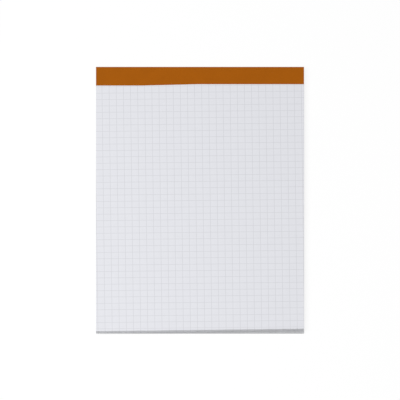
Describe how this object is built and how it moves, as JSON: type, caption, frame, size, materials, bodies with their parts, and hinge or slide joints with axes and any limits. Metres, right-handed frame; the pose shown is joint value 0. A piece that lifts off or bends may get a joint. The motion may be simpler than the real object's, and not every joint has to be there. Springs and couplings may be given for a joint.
{
  "type": "notepad",
  "caption": "Head-bound notepad: square-ruled leaves on a greyboard back, stapled at the head under a folded orange-brown band.",
  "frame": {"origin": "middle of the pad's back, on the surface that it lies on", "axes": "+X across the pad to the reader's right, +Y up the page to the bound head, +Z out of the page"},
  "size_m": [0.148, 0.2104, 0.0045],
  "materials": {
    "greyboard": "matte",
    "paper": "matte",
    "band": "matte",
    "wire": "satin"
  },
  "bodies": {
    "root": {"back_board": "greyboard", "page_block": "paper", "head_band": "band", "staples": "wire"}
  },
  "joints": []
}
